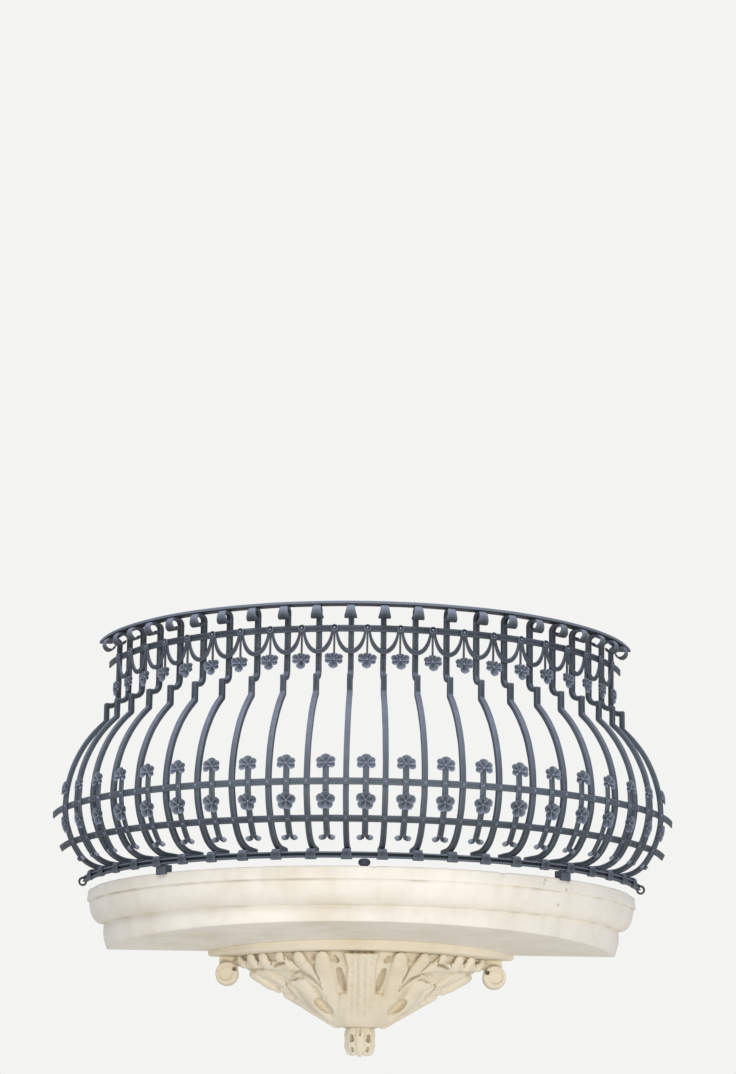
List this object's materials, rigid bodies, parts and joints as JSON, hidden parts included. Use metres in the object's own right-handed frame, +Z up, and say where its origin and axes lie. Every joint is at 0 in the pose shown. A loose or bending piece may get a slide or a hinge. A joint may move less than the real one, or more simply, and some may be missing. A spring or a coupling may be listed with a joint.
{
  "type": "wrought iron balcony",
  "caption": "Bowed balcony for a wall: bellied wrought iron railing with curled balusters, festoons and flowers on a moulded half-round slab over a carved leaf corbel",
  "frame": {"origin": "the middle of the slab's flat back face, in the plane of the wall", "axes": "+X to the right along the wall, -Y out from the wall to the street, +Z up"},
  "size_m": [2.2994, 0.968, 1.54],
  "materials": {
    "iron": "dark slate paint on hammered iron, half gloss, worn along the edges",
    "masonry": "warm ivory masonry, matt, with a little dirt and a few small cracks"
  },
  "bodies": {
    "root": {"handrail": "iron", "upper_band": "iron", "upper_belly_band": "iron", "lower_belly_band": "iron", "bottom_ring": "iron", "foot_left": "iron", "foot_middle": "iron", "foot_right": "iron", "baluster_01": "iron", "baluster_02": "iron", "baluster_03": "iron", "baluster_04": "iron", "baluster_05": "iron", "baluster_06": "iron", "baluster_07": "iron", "baluster_08": "iron", "baluster_09": "iron", "baluster_10": "iron", "baluster_11": "iron", "baluster_12": "iron", "baluster_13": "iron", "baluster_14": "iron", "baluster_15": "iron", "baluster_16": "iron", "baluster_17": "iron", "baluster_18": "iron", "baluster_19": "iron", "baluster_20": "iron", "baluster_21": "iron", "baluster_22": "iron", "festoons_left": "iron", "festoons_right": "iron", "pendants_left": "iron", "pendant_middle": "iron", "pendants_right": "iron", "flower_bars_left": "iron", "flower_bar_middle": "iron", "flower_bars_right": "iron", "balcony_slab": "masonry", "corbel_bed_mould": "masonry", "corbel": "masonry", "corbel_finial": "masonry"}
  },
  "joints": []
}
